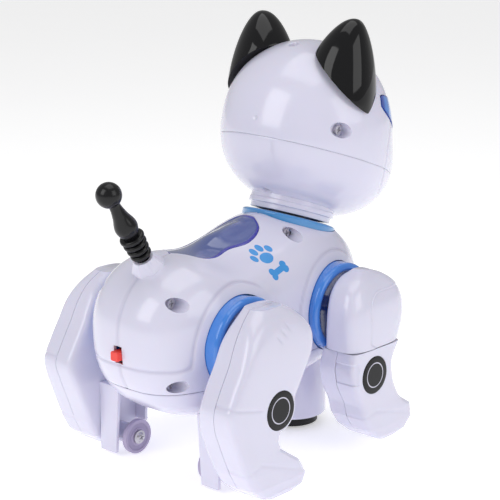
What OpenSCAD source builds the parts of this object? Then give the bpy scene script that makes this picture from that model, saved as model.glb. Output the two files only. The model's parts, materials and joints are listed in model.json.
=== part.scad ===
// Robot dog toy: an upright electronic pet with a turning head, swinging legs,
// a drive turret under the chest and castor wheels inside the rear legs.
// +X is forward, +Y is the dog's left, +Z is up. The origin is on the floor
// below the middle of the overall box. Millimetres.

/* [Body] */
// Length of the body casing
body_l = 183; // [165:1:220]
// Width of the body casing
body_w = 93; // [80:1:112]
// Height of the body casing
body_h = 106; // [95:1:118]
// Height of the middle of the body casing above the floor
body_z = 86; // [80:1:92]
// Wall of the casings
wall = 2; // [1.4:0.1:2.6]
// Gap between separate casings
gap = 0.3; // [0.2:0.05:0.5]

/* [Head] */
// Half width of the head
head_r = 54.5; // [46:0.5:64]
// Forward reach of the muzzle beyond the head
muzzle = 14; // [8:0.5:16]
// Forward tilt of the neck
neck_tilt = 20; // [10:1:24]
// Radius of the neck light ring
neck_r = 29; // [24:0.5:34]
// Radius of the collar under the head
collar_r = 26.4; // [22:0.5:28]
// Length of each ear above its root
ear_h = 36.5; // [30:0.5:44]

/* [Legs] */
// Outer radius of the hip and shoulder light rings
ring_r = 27; // [22.5:0.5:32]
// Thickness of the light rings' rims
rim = 7; // [5:0.5:8]
// Thickness of each leg
leg_t = 27; // [22:0.5:32]
// Radius of the knee caps
knee_r = 11.3; // [9:0.5:12.5]
// Radius of the leg axles
axle_r = 4; // [3:0.25:5]
// Running clearance on every axle radius
run = 0.06; // [0.03:0.01:0.1]

/* [Wheels] */
// Radius of the castor wheels in the rear legs
castor_r = 10.4; // [8.5:0.1:12.5]
// Radius of the drive turret under the chest
turret_r = 22; // [18:0.5:26]
// Radius of the drive wheels
drive_r = 9; // [7.5:0.25:9.5]

/* [Tail] */
// Radius of the ball on the tail
tail_ball_r = 7.3; // [5:0.1:8.5]
// Length of the tail from its root to the ball
tail_l = 50; // [40:1:60]

/* [Hidden] */

WHITE = [0.89, 0.88, 0.95];
BLUE = [0.25, 0.53, 0.90];
BLACK = [0.10, 0.10, 0.11];

// ---------- points and skins ----------

// Signed power, which rounds a square section into a superellipse
function spow(x, p) = sign(x) * pow(abs(x), p);
function bell(x, wide) = exp(-pow(x / wide, 2));
function mix(a, b, t) = a + (b - a) * t;
function steps(a, b, n) = [for (i = [0:n]) mix(a, b, i / n)];

// Smooth value between the rows of a station table, found by its first column
function row_at(rows, z, i = 0) =
    z <= rows[i + 1][0] || i + 2 >= len(rows) - 0 ? i : row_at(rows, z, i + 1);
function slope(rows, i, c) =
    let (a = rows[max(i - 1, 0)], b = rows[min(i + 1, len(rows) - 1)])
    (b[c] - a[c]) / (b[0] - a[0]);
function along(rows, z, c) =
    let (i = row_at(rows, z), a = rows[i], b = rows[i + 1], d = b[0] - a[0], t = (z - a[0]) / d)
    (2 * pow(t, 3) - 3 * t * t + 1) * a[c] + (pow(t, 3) - 2 * t * t + t) * d * slope(rows, i, c)
    + (3 * t * t - 2 * pow(t, 3)) * b[c] + (pow(t, 3) - t * t) * d * slope(rows, i + 1, c);

// Closed skin between an outer and an inner grid of points. Rows run upwards,
// columns run anticlockwise seen from above. ring joins the last column to the
// first, lo and hi close the first and last rows with a cap instead of a rim.
module skin(outer, inner, ring = false, lo = false, hi = false) {
    m = len(outer);
    n = len(outer[0]);
    far = m * n;
    last = (m - 1) * n;
    span = ring ? n - 1 : n - 2;
    quads = [for (i = [0:m - 2], j = [0:span]) let (k = (j + 1) % n)
        [i * n + j, (i + 1) * n + j, (i + 1) * n + k, i * n + k]];
    rims = [for (j = [0:span]) let (k = (j + 1) % n) each [
        if (!lo) [j, k, far + k, far + j],
        if (!hi) [last + k, last + j, far + last + j, far + last + k]]];
    sides = ring ? [] : [for (i = [0:m - 2]) let (a = i * n, b = a + n - 1) each [
        [a + n, a, far + a, far + a + n], [b, b + n, far + b + n, far + b]]];
    caps = [
        if (lo) [for (j = [0:n - 1]) j],
        if (lo) [for (j = [n - 1:-1:0]) far + j],
        if (hi) [for (j = [n - 1:-1:0]) last + j],
        if (hi) [for (j = [0:n - 1]) far + last + j],
        if (lo && !ring) [0, n - 1, far + n - 1, far],
        if (hi && !ring) [last + n - 1, last, far + last, far + last + n - 1]];
    faces = concat(
        [for (q = quads) each [[q[0], q[1], q[2]], [q[0], q[2], q[3]]]],
        [for (q = quads) each [[far + q[0], far + q[2], far + q[1]], [far + q[0], far + q[3], far + q[2]]]],
        [for (q = concat(rims, sides)) each [[q[0], q[1], q[2]], [q[0], q[2], q[3]]]], caps);
    polyhedron(points = concat([for (r = outer) each r], [for (r = inner) each r]), faces = faces);
}

// Solid through closed rows of points
module loft(rows) {
    m = len(rows);
    n = len(rows[0]);
    faces = concat(
        [for (i = [0:m - 2], j = [0:n - 1]) let (k = (j + 1) % n, a = i * n + j, b = i * n + k)
            each [[a, a + n, b + n], [a, b + n, b]]],
        [[for (j = [0:n - 1]) j], [for (j = [n - 1:-1:0]) (m - 1) * n + j]]);
    polyhedron(points = [for (r = rows) each r], faces = faces);
}

module both_sides() {
    children();
    mirror([0, 1, 0]) children();
}

module side(s) {
    if (s > 0) children();
    else mirror([0, 1, 0]) children();
}

// ---------- body casing ----------
body_x = -13.55;
plan_round = 3;
body_round = 2.45;
back_rise = 4.5;
belly_rise = 8;
waist = 0.07;
waist_x = body_x + 4;
// The back dips behind the neck and falls away to both sides of its crest
saddle = 7;
saddle_x = body_x - 31;
shoulder = 12;
seam_v = -24;
top_v = 87;
hip_x = body_x - body_l * 0.201;
hip_z = body_z - 4;
shoulder_x = body_x + body_l * 0.256;
shoulder_z = body_z - 1;
neck_x = body_x + 52.5;
neck_z = body_z + body_h * 0.42;

// Point on the casing at heading u and latitude v, set in by a wall
function body_pt(u, v, inset = 0) =
    let (cv = spow(cos(v), 2 / body_round), sv = spow(sin(v), 2 / body_round),
        t = spow(cos(u), 2 / plan_round) * cv, x = (body_l / 2 - inset) * t + body_x,
        w = (body_w / 2 - inset) * (1 - waist * bell(x - waist_x, 24)),
        y = w * spow(sin(u), 2 / plan_round) * cv,
        rise = sv > 0 ? back_rise * t * sv : -belly_rise * t * sv,
        dip = saddle * bell(x - saddle_x, 22) + shoulder * bell(x - waist_x + 12, 30) * (1 - bell(y, 16)))
    [x, y, body_z + (body_h / 2 - inset) * sv + rise - dip * pow(max(sv, 0), 2)];
function body_rows(us, vs, inset) = [for (v = vs) [for (u = us) body_pt(u, v, inset)]];

// Frame on the neck's axis
module at_neck() translate([neck_x, 0, neck_z]) rotate([0, neck_tilt, 0]) children();
// Frame on a leg's axle, with +Z outwards on the dog's left
module at_axle(x, z) translate([x, 0, z]) rotate([-90, 0, 0]) children();

ring_mid = body_w / 2;
ring_face = ring_mid + rim / 2;
ring_seat = ring_mid - 9;
module ring_holes() for (p = [[hip_x, hip_z], [shoulder_x, shoulder_z]]) at_axle(p[0], p[1])
    translate([0, 0, ring_seat - 3]) cylinder(r = ring_r + gap, h = 30);

// Outline of the window in the back, seen from above
lens_tail = body_x - 50.5;
lens_nose = body_x + 16.5;
lens_wide = 15.8;
lens_waist = 14.3;
lens_rows = [[lens_tail, 0.4], [lens_tail + 9.5, lens_wide - 2], [lens_tail + 20, lens_wide],
    [lens_tail + 33.5, lens_waist], [lens_nose - 18, lens_wide + 1], [lens_nose - 5.5, lens_waist - 1],
    [lens_nose, 4]];
lens_line = [for (x = steps(lens_tail, lens_nose, 28)) [x, max(0.4, along(lens_rows, x, 1))]];
module lens_plan(grow = 0) offset(delta = grow)
    polygon(concat(lens_line, [for (i = [len(lens_line) - 1:-1:0]) [lens_line[i][0], -lens_line[i][1]]]));

side_v = concat(steps(seam_v + 0.6, 58, 9), [68, 78, top_v]);
module body_skin_half(u0, u1) skin(
    body_rows(steps(u0, u1, 22), side_v, 0), body_rows(steps(u0, u1, 22), side_v, wall), hi = true);

switch_x = body_x - body_l / 2;
switch_z = body_z - 8;
switch_w = 6;
switch_h = 7;
switch_travel = 2.4;
tail_x = body_x - 69;
tail_z = 127;
tail_lean = 32;
module at_tail() translate([tail_x, 0, tail_z]) rotate([0, -tail_lean, 0]) children();

module body_cuts() {
    ring_holes();
    translate([0, 0, body_z + 20]) linear_extrude(body_h) lens_plan();
    at_neck() translate([0, 0, -14]) cylinder(r = neck_r + gap, h = 40);
    at_tail() translate([0, 0, -12]) cylinder(r = 7.5, h = 30);
    translate([switch_x - 5, -switch_w / 2 - gap, switch_z - switch_h / 2 - switch_travel])
        cube([20, switch_w + 2 * gap, switch_h + 2 * switch_travel]);
    for (p = screw_spots) translate([p[0], 0, p[1]]) rotate([-90, 0, 0])
        translate([0, 0, p[2]]) cylinder(r = screw_hole_r, h = 60);
    for (p = screw_spots) translate([p[0], 0, p[1]]) rotate([-90, 0, 0]) cylinder(r = screw_r + 0.1, h = 60);
}
screw_hole_r = 3.6;
screw_r = 1.2;
screw_spots = [[body_x - 74, body_z + 23, 23], [body_x - 75.7, body_z - 23.3, 23], [body_x + 25.5, body_z + 44, 20]];

around = [for (i = [0:31]) i * 11.25];
module body_solid(inset) loft(body_rows(around, concat([-86, -72], steps(-56, 56, 8), [70, 86]), inset));
module screw_cups() intersection() {
    body_solid(wall / 2);
    for (p = screw_spots) translate([p[0], 0, p[1]]) rotate([-90, 0, 0])
        translate([0, 0, p[2] - 3]) cylinder(r = screw_hole_r + 1.6, h = 40);
}
module body_half() difference() {
    union() {
        body_skin_half(0, 180);
        screw_cups();
    }
    body_cuts();
}
module body_shell_left() color(WHITE) body_half();
module body_shell_right() color(WHITE) mirror([0, 1, 0]) body_half();

belly_v = concat([-86, -72], steps(-58, seam_v - 0.6, 5));
module belly_skin() skin(body_rows(around, belly_v, 0), body_rows(around, belly_v, wall), ring = true, lo = true);
cover_x = body_x - 32;
cover_l = 46;
cover_w = 34;
module cover_block(grow) translate([cover_x - grow, -cover_w / 2 - grow, 0])
    cube([cover_l + 2 * grow, cover_w + 2 * grow, body_z - 30]);
turret_x = body_x + 55.5;
module belly_tub() color(WHITE) difference() {
    belly_skin();
    ring_holes();
    mirror([0, 1, 0]) ring_holes();
    cover_block(gap);
    translate([turret_x, 0, 0]) cylinder(r = turret_r + gap, h = body_z - 15);
}
module battery_cover() color(WHITE) intersection() {
    belly_skin();
    cover_block(0);
}

// Window in the back, a little sunk in its opening
lens_t = 1.6;
lens_v = [34, 46, 58, 68, 78, top_v];
module back_lens() color([0.35, 0.40, 0.75]) intersection() {
    skin(body_rows(around, lens_v, 0.3), body_rows(around, lens_v, 0.3 + lens_t), ring = true, hi = true);
    translate([0, 0, body_z + 10]) linear_extrude(body_h) lens_plan(-gap);
}

// ---------- light rings ----------
// Rounded rim with a dished web inside it and a hole for the axle
module light_ring() rotate_extrude($fn = 96) {
    translate([ring_r - rim / 2, ring_mid]) circle(d = rim, $fn = 48);
    translate([ring_r - rim, ring_seat]) square([rim, ring_mid - ring_seat]);
    translate([axle_r + 2.5, ring_seat]) square([ring_r - axle_r - 3.5, 2]);
}
module shoulder_ring() color(BLUE) at_axle(shoulder_x, shoulder_z) light_ring();
module hip_ring() color(BLUE) at_axle(hip_x, hip_z) light_ring();
module shoulder_ring_left() side(1) shoulder_ring();
module shoulder_ring_right() side(-1) shoulder_ring();
module hip_ring_left() side(1) hip_ring();
module hip_ring_right() side(-1) hip_ring();

post_r = 9;
spindle_r = 3;
neck_rim = 5;
neck_web = -8;
module neck_light_ring() color(BLUE) at_neck() rotate_extrude($fn = 96) {
    translate([neck_r - neck_rim / 2, 0]) circle(d = neck_rim, $fn = 48);
    translate([neck_r - neck_rim, neck_web]) square([neck_rim, -neck_web]);
    translate([post_r + gap, neck_web]) square([neck_r - post_r - 1, 2]);
}
module neck_post() color([0.75, 0.75, 0.78]) at_neck() rotate_extrude($fn = 72) {
    translate([spindle_r + run, neck_web - 14]) square([post_r - spindle_r - run, 32]);
    translate([spindle_r + run, neck_web - 3 - gap]) square([post_r + 5 - spindle_r - run, 3]);
}
motor_r = 9.5;
head_motor_h = 12.5;
module head_motor() color([0.6, 0.6, 0.62]) at_neck()
    translate([0, 0, neck_web - 14 - gap - head_motor_h]) cylinder(r = motor_r, h = head_motor_h);

// ---------- tail ----------
socket_r = 8.6;
tail_bore = 4;
tail_pin = 1.2;
tail_pin_l = 5.6;
module tail_socket() color(WHITE) difference() {
    at_tail() translate([0, 0, -11]) difference() {
        union() {
            cylinder(r = 7.5 - gap, h = 11);
            translate([0, 0, 9]) cylinder(r1 = socket_r, r2 = 6, h = 5, $fn = 60);
        }
        translate([0, 0, 7]) cylinder(r = tail_bore, h = 20);
        translate([0, 0, 11]) rotate([0, 90, 0]) cylinder(r = tail_pin + run, h = 2 * tail_pin_l, center = true);
    }
    body_solid(0);
}
tail_root = 3.6;
module tail() color(BLACK) at_tail() {
    rotate([0, 90, 0]) cylinder(r = tail_pin, h = 2 * tail_pin_l - 0.4, center = true);
    tail_form();
}
module tail_form() rotate_extrude($fn = 72) {
    translate([0, -2]) square([tail_bore - 1.3, 7]);
    for (i = [0:3]) {
        translate([0, tail_root + 1.2 + i * 4]) square([4.6 + i * 0.35, 4]);
        translate([4.6 + i * 0.35, tail_root + 3.2 + i * 4]) circle(r = 1.6, $fn = 32);
    }
    polygon(concat([[0, tail_root + 16]], [for (t = steps(0, 1, 14)) [tail_neck(t), mix(tail_root + 16, tail_l, t)]],
        [[0, tail_l]]));
    intersection() {
        translate([0, tail_l]) circle(r = tail_ball_r, $fn = 72);
        translate([0, tail_l - tail_ball_r]) square([tail_ball_r, 2 * tail_ball_r]);
    }
}
function tail_neck(t) = along([[0, 5.0], [0.22, 6.6], [0.5, 4.4], [0.75, 3.3], [1, 4.6]], t, 1);

// ---------- turret under the chest ----------
turret_low = 7.5;
turret_top = body_z - 41;
hub_r = 5;
module turret_housing() color(WHITE) translate([turret_x, 0, 0]) difference() {
    translate([0, 0, turret_low]) cylinder(r = turret_r, h = turret_top - turret_low);
    translate([0, 0, turret_low - 1]) cylinder(r = turret_r - wall, h = 22);
    cylinder(r = hub_r + run, h = 80);
}
base_r = turret_r - 5;
base_low = 1.4;
wheel_y = 9;
wheel_t = 4.4;
pin_r = 1.5;
module turret_base() color(BLACK) translate([turret_x, 0, 0]) difference() {
    union() {
        translate([0, 0, base_low]) cylinder(r = base_r, h = 24 - base_low);
        translate([0, 0, 23]) cylinder(r = hub_r, h = turret_top - 23);
    }
    for (s = [-1, 1]) translate([-drive_r - 1, s * wheel_y - wheel_t / 2 - 0.5, 0])
        cube([2 * drive_r + 2, wheel_t + 1, 2 * drive_r + 1.5]);
    translate([0, 0, drive_r]) rotate([90, 0, 0]) cylinder(r = pin_r + run, h = 2 * wheel_y + wheel_t + 1.6, center = true);
}
module drive_wheels() color([0.2, 0.2, 0.22]) translate([turret_x, 0, drive_r]) rotate([90, 0, 0]) {
    for (s = [-1, 1]) translate([0, 0, s * wheel_y]) cylinder(r = drive_r, h = wheel_t, center = true);
    cylinder(r = pin_r, h = 2 * wheel_y + wheel_t + 1, center = true);
}

// ---------- inside the body ----------
module inside_body(inset = wall + gap) intersection() {
    body_solid(inset);
    children();
}
frame_w = ring_seat - gap - 1;
tube_r = axle_r + 3.5;
speaker_gap = 22;
module leg_frame() color([0.55, 0.56, 0.6]) difference() {
    union() {
        for (p = [[hip_x, hip_z], [shoulder_x, shoulder_z]]) at_axle(p[0], p[1])
            cylinder(r = tube_r, h = 2 * frame_w, center = true);
        both_sides() translate([hip_x, frame_w - 5, min(hip_z, shoulder_z) - 3])
            cube([shoulder_x - hip_x, 5, 6]);
        translate([hip_x - speaker_gap, -4, hip_z - 3]) cube([speaker_gap - tube_r + 1, 8, 6]);
        inside_body() for (x = [hip_x, shoulder_x]) both_sides()
            translate([x - 3, frame_w - 9, body_z - 45]) cube([6, 6, 45]);
    }
    for (p = [[hip_x, hip_z], [shoulder_x, shoulder_z]]) at_axle(p[0], p[1])
        cylinder(r = axle_r + run, h = 2 * frame_w + 2, center = true);
}
cell_r = 7.1;
cell_l = 50;
box_x = body_x - 24;
box_z = body_z - 39;
box_wall = 1.6;
box_l = 8 * cell_r + 2 + 2 * box_wall;
module battery_box() color([0.3, 0.3, 0.33]) difference() {
    translate([box_x, -cell_l / 2 - 1 - box_wall, box_z])
        cube([box_l, cell_l + 2 + 2 * box_wall, 2 * cell_r + 2]);
    translate([box_x + box_wall, -cell_l / 2 - 1, box_z - 1])
        cube([box_l - 2 * box_wall, cell_l + 2, 2 * cell_r + 1.4]);
}
module battery_cells() color([0.15, 0.35, 0.2])
    for (i = [0:3]) translate([box_x + box_wall + 1 + cell_r + i * 2 * cell_r, 0, box_z + cell_r + 0.1])
        rotate([90, 0, 0]) {
            cylinder(r = cell_r - 0.1, h = cell_l - 1.5, center = true);
            translate([0, 0, (i % 2 * 2 - 1) * (cell_l / 2 - 0.5)]) cylinder(r = 2.6, h = 1.6, center = true);
        }
board_z = body_z + 30.5;
module control_board() color([0.1, 0.4, 0.25]) {
    translate([body_x - 24, -19, board_z]) cube([42, 38, 1.6]);
    translate([body_x - 12, -6, board_z + 1.6]) cube([12, 12, 2.2]);
    for (s = [-1, 1]) translate([body_x + 9, s * 10, board_z + 1.6]) cylinder(r = 2.5, h = 4);
    for (s = [-1, 1], x = [body_x - 4, body_x + 15])
        translate([x, s * 17, box_z + 2 * cell_r + 2]) cylinder(r = 1.8, h = board_z - box_z - 2 * cell_r - 2);
}
module speaker() color([0.2, 0.2, 0.2]) translate([hip_x - speaker_gap - gap, 0, hip_z]) rotate([0, -90, 0]) {
    cylinder(r1 = 7, r2 = 12, h = 5, $fn = 48);
    translate([0, 0, 5]) cylinder(r = 14, h = 3);
}
pinion_n = 12;
gear_n = 36;
gear_m = 1;
gear_x = body_x + 8;
gear_z = body_z + 3;
gear_y = 8;
gear_gap = (pinion_n + gear_n) * gear_m / 2 + 0.25;
// Trapezoid-toothed gear outline with a tooth centred on +X
module gear_plan(n) {
    root = n * gear_m / 2 - 1.2 * gear_m;
    tip = n * gear_m / 2 + 0.85 * gear_m;
    circle(r = root, $fn = 72);
    for (i = [0:n - 1]) rotate(i * 360 / n)
        polygon([[root - 0.5, -0.95 * gear_m], [tip, -0.38 * gear_m], [tip, 0.38 * gear_m], [root - 0.5, 0.95 * gear_m]]);
}
module crank_gear() color([0.85, 0.85, 0.8]) translate([gear_x, gear_y, gear_z]) rotate([-90, 0, 0]) {
    linear_extrude(5) gear_plan(gear_n);
    translate([0, 0, -8]) cylinder(r = 2, h = 15);
    translate([11, 0, 4]) cylinder(r = 1.5, h = 2.6);
}
module motor_pinion() color([0.8, 0.7, 0.3]) translate([gear_x - gear_gap, gear_y, gear_z]) rotate([-90, 0, 0]) {
    linear_extrude(6) rotate(180 / pinion_n) gear_plan(pinion_n);
    translate([0, 0, -4.5]) cylinder(r = 1.5, h = 5);
}
module gearbox_plate() color([0.55, 0.56, 0.6]) difference() {
    translate([gear_x - gear_gap - 10, gear_y - 5, box_z + 2 * cell_r + 2])
        cube([gear_gap + 22, 2.5, gear_z + 12 - box_z - 2 * cell_r]);
    for (p = [[gear_x, 2], [gear_x - gear_gap, 1.5]]) translate([p[0], 0, gear_z]) rotate([-90, 0, 0])
        cylinder(r = p[1] + run, h = 30);
}
module leg_motor() color([0.6, 0.6, 0.62])
    translate([gear_x - gear_gap, gear_y - 5, gear_z]) rotate([90, 0, 0]) cylinder(r = motor_r, h = 19);

// ---------- power switch ----------
module switch_slider() color([0.92, 0.15, 0.12]) {
    translate([switch_x - 0.6, -switch_w / 2, switch_z - switch_h / 2]) cube([9, switch_w, switch_h]);
}
module switch_body() color([0.25, 0.25, 0.27])
    translate([switch_x + 8.4 + gap, -8, switch_z - 9]) cube([6, 16, 18]);

// ---------- screws ----------
module screw(l = 8) {
    difference() {
        cylinder(r = 2.8, h = 1.8);
        for (a = [0, 90]) rotate(a) translate([-1.8, -0.4, 1]) cube([3.6, 0.8, 2]);
    }
    translate([0, 0, -l]) cylinder(r = screw_r, h = l + 0.1);
}
module body_screws() color([0.7, 0.7, 0.72]) both_sides()
    for (p = screw_spots) translate([p[0], p[2], p[1]]) rotate([-90, 0, 0]) screw();

// ---------- head ----------
head_z = head_r + 5.5;
muzzle_v = -22;
muzzle_wide = 42;
face_flat = 11;
face_v = 28;
face_wide = 50;
jowl = 2.4;
head_squat = 0.95;
seam_head_v = -20;
throat_v = -63;
visor_v = 17;
visor_half = 13;
visor_u = 92;

function heading(u, v) = [cos(v) * cos(u), cos(v) * sin(u), sin(v)];
function angle_to(u, v, v0) = acos(min(1, heading(u, v) * heading(0, v0)));
// Point on the head at heading u and latitude v, set in by a wall
function head_pt(u, v, inset = 0) =
    let (full = v > 0 ? 2 : jowl, m = pow(pow(cos(v), full) + pow(abs(sin(v)), full), -1 / full),
        r = m * (head_r - inset) + muzzle * bell(angle_to(u, v, muzzle_v), muzzle_wide)
            - face_flat * bell(angle_to(u, v, face_v), face_wide))
    [for (i = [0:2]) heading(u, v)[i] * r * [1, 1, head_squat][i]] + [0, 0, head_z];
function head_rows(us, vs, inset) = [for (v = vs) [for (u = us) head_pt(u, v, inset)]];
turns = [for (i = [0:39]) i * 9];
upper_v = concat(steps(seam_head_v + 0.4, 64, 10), [76, 86]);
lower_v = steps(throat_v, seam_head_v - 0.4, 6);
module head_solid(inset) loft(head_rows(around, concat([-86, -70], steps(-56, 56, 8), [70, 86]), inset));

// Grid over the visor's window, which narrows to a point at both sides
function visor_rows(inset, grow) = [for (s = steps(-1, 1, 4)) [for (u = steps(-visor_u, visor_u, 24))
    head_pt(u * (1 + grow * 0.01), visor_v + 5 * pow(u / visor_u, 2)
        + s * (visor_half * pow(1.03 - pow(u / visor_u, 2), 0.4) + grow), inset)]];
module visor_hole() skin(visor_rows(-4, 0.6), visor_rows(wall + 3, 0.6));

head_screw = [-28, 55];
module head_holes() both_sides() translate([head_screw[0], 0, head_screw[1]]) rotate([-90, 0, 0]) {
    translate([0, 0, head_r - 12]) cylinder(r = screw_hole_r, h = 20);
    cylinder(r = screw_r + 0.1, h = head_r);
}
module head_cups() intersection() {
    head_solid(wall / 2);
    both_sides() translate([head_screw[0], 0, head_screw[1]]) rotate([-90, 0, 0])
        translate([0, 0, head_r - 15]) cylinder(r = screw_hole_r + 1.6, h = 20);
}
module head_upper_shell() color(WHITE) at_neck() difference() {
    union() {
        skin(head_rows(turns, upper_v, 0), head_rows(turns, upper_v, wall), ring = true, hi = true);
        head_cups();
    }
    head_holes();
    visor_hole();
}
collar_low = neck_rim / 2 + 1;
collar_mid = head_pt(180, throat_v)[2];
module head_lower_shell() color(WHITE) at_neck() {
    skin(head_rows(turns, lower_v, 0), head_rows(turns, lower_v, wall), ring = true);
    rotate_extrude($fn = 96) {
        translate([collar_r - 5, collar_low]) square([5, collar_mid - collar_low - 3]);
        translate([collar_r - 5, collar_low]) square([4.4, collar_mid - collar_low + 1.5]);
    }
    rotate_extrude($fn = 96) translate([post_r + 2, collar_mid - 5]) square([collar_r - post_r - 5, 2]);
}
module head_frame() color([0.55, 0.56, 0.6]) at_neck() {
    translate([0, 0, neck_web - 14]) cylinder(r = spindle_r, h = collar_mid + 34.4 - neck_web);
    translate([0, 0, collar_mid - 3 + gap]) difference() {
        cylinder(r = collar_r - 6, h = 2);
        translate([0, 0, -1]) cylinder(r = post_r + gap, h = 4);
    }
    for (a = [45:90:315]) rotate(a) translate([post_r + 3, 0, collar_mid - 3 + gap]) cylinder(r = 2, h = 21);
    translate([0, 0, collar_mid + 17]) cylinder(r = post_r + 6, h = 2.4);
    translate([post_r - 3, -8, collar_mid + 19]) cube([5, 16, head_z + head_r * 0.22 - collar_mid - 19]);
}
eye_x = head_r * 0.60;
module eye_board() color([0.1, 0.4, 0.25]) at_neck() {
    translate([post_r + 2 + gap, -head_r * 0.4, head_z + head_r * 0.07]) cube([1.6, head_r * 0.8, head_r * 0.4]);
    for (s = [-1, 1]) translate([post_r + 3.5, s * head_r * 0.275, head_z + head_r * 0.275]) rotate([0, 90, 0]) {
        cylinder(r = 6, h = eye_x - post_r - 3.5);
        translate([0, 0, eye_x - post_r - 3.5]) sphere(r = 6, $fn = 48);
    }
}
module face_visor() color([0.2, 0.3, 0.85]) at_neck() skin(visor_rows(-0.5, 0), visor_rows(1.3, 0));
nose_v = -14;
nose_rise = head_pt(0, nose_v + 5) - head_pt(0, nose_v - 5);
module nose() color(BLACK) at_neck() translate(head_pt(0, nose_v, -gap))
    rotate([0, atan2(nose_rise[2], -nose_rise[0]), 0])
    intersection() {
        translate([0, 0, -3]) sphere(r = 6.5);
        cylinder(r = 8, h = 8);
    }
module head_screws() color([0.7, 0.7, 0.72]) at_neck() both_sides()
    translate([head_screw[0], head_r - 12, head_screw[1]]) rotate([-90, 0, 0]) screw();

// Ears: flattened horns rooted on the head along a slanted line
ear_root = [-19.5, 34.5, 32.6];
ear_lean = [-5.2, 5.6, 30] / 30.96;
ear_line = [0.41, 0.68, -0.605];
ear_face = cross(ear_line, ear_lean) / norm(cross(ear_line, ear_lean));
ear_half = 25;
ear_thick = 20.4;
function ear_ring(t) =
    let (c = ear_root * (head_r / 54.5) + [0, 0, head_z] + ear_lean * (ear_h * t - 8) + ear_line * 0.6 * sin(180 * t),
        full = 1 - pow(t, 1.3), a = ear_half * pow(full, 0.59), b = ear_thick * pow(full, 0.52))
    [for (u = [0:18:342]) c + ear_line * a * cos(u) + ear_face * b * spow(sin(u), 0.85)];
module ear() color(BLACK) at_neck() difference() {
    loft([for (t = concat(steps(0, 0.85, 7), [0.93, 0.99])) ear_ring(t)]);
    loft(head_rows(turns, upper_v, -gap / 3));
}
module ear_left() ear();
module ear_right() mirror([0, 1, 0]) ear();

// ---------- legs ----------
leg_y = ring_face + 0.7;
leg_round = 3;
leg_mid = leg_y + leg_t / 2;
// Stations: height, back and front from the axle, inner and outer set-in
rear_leg = [[0, -14, 10, 5, 3], [3, -20, 16, 1.5, 1], [9, -27, 18, -1, 0], [18, -32, 12, -2, 0],
    [28, -36, -3, -2.5, 0.6], [38, -40, -3, -2.5, 0.8], [46, -43, 6, -2.5, 0.6], [57, -45, 10, 0.1, 0.4],
    [68, -40, 17, 0, 0.6], [80, -33, 24, 0, 1], [92, -27, 25, 0, 2.5], [101, -20, 19, 0.3, 5],
    [107, -12, 9, 1.5, 10]];
front_leg = [[7.5, 3, 18, 6, 2], [10, -2, 27, 2, 0.5], [16, -9, 33.5, -1, 0], [24, -14, 32, -2, 0],
    [29, -15, 24, -2.3, 0.4], [33, -16, 20, -2.5, 0.6], [44, -22, 15, -2.5, 0.8], [56, -26, 14, -0.6, 0.8],
    [66.5, -24, 20, 0.4, 0.8]];
cover = [[67, -25, 22.5, 0, 0.3], [80, -25.5, 27, 0, 0], [92, -24, 27, 0, 1], [101, -20, 23, 0.3, 4],
    [107, -13, 15, 1.5, 8], [110.5, -4, 6, 5, 13]];

// Ring of points round a leg at height z, over the headings us
function leg_ring(rows, x0, z, us, inset, split) =
    let (a = along(rows, z, 1), b = along(rows, z, 2), i = along(rows, z, 3), o = along(rows, z, 4),
        lo = rows[0][0], hi = rows[len(rows) - 1][0], y0 = leg_y + i, y1 = leg_y + leg_t - o,
        depth = (y1 - y0) / 2 - inset, reach = (b - a) / 2 - inset,
        zz = mix(lo + inset, hi - inset, (z - lo) / (hi - lo)))
    [for (u = us) [x0 + (a + b) / 2 + reach * spow(cos(u), 2 / leg_round),
        (y0 + y1) / 2 + split + depth * spow(sin(u), 2 / leg_round), zz]];
function leg_rows(rows, x0, us, inset, split) =
    [for (r = rows) leg_ring(rows, x0, r[0], us, inset, split)];
module leg_half(rows, x0, out) {
    us = out ? steps(0, 180, 14) : steps(180, 360, 14);
    split = (out ? 1 : -1) * gap / 2;
    skin(leg_rows(rows, x0, us, 0, split), leg_rows(rows, x0, us, wall, split), lo = true, hi = true);
}

knee_t = 1.8;
rear_knee = [-5.8, 51.4];
front_knee = [-5.5, 50.7];
knee_y = leg_y + leg_t - 2;
module knee_at(x0, p) at_axle(x0 + p[0], p[1]) translate([0, 0, knee_y]) children();
module knee_cap() color(BLACK) cylinder(r = knee_r, h = knee_t);
module knee_recess() cylinder(r = knee_r + gap / 2, h = 20);
module knee_boss() translate([0, 0, -3]) cylinder(r = knee_r + 1.4, h = 3 + knee_t - 0.8);

flange_r = 9;
axle_in = 8;
axle_wall = leg_y + wall + 0.5;
module axle(x, z, end) color([0.75, 0.75, 0.78]) at_axle(x, z) {
    translate([0, 0, axle_in]) cylinder(r = axle_r, h = end - axle_in);
    translate([0, 0, end]) cylinder(r = flange_r, h = 3);
}

castor_x = hip_x - 12;
castor_y = 31;
castor_t = 3.2;
castor_hub_r = 3;
wing_in = 32;
module castor_wing() {
    web = leg_y - 3.5;
    translate([castor_x - castor_r - 3, wing_in, 2]) cube([2.4, web - wing_in + 1, 42]);
    translate([castor_x + castor_r + 3, wing_in + 4, 15]) cube([2.4, web - wing_in - 3, 29]);
    translate([castor_x - castor_r - 3, web - 1.5, 12]) cube([2 * castor_r + 8.4, 2.4, 32]);
    translate([castor_x, web, castor_r]) rotate([90, 0, 0])
        cylinder(r = castor_hub_r, h = web - castor_y + castor_t / 2 + 0.4);
    translate([castor_x, web + 2, castor_r]) rotate([90, 0, 0]) cylinder(r = 6, h = web + 2 - castor_y - castor_t / 2 - 1);
}
module rear_leg_outer() color(WHITE) difference() {
    union() {
        leg_half(rear_leg, hip_x, true);
        knee_at(hip_x, rear_knee) knee_boss();
    }
    knee_at(hip_x, rear_knee) knee_recess();
}
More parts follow.
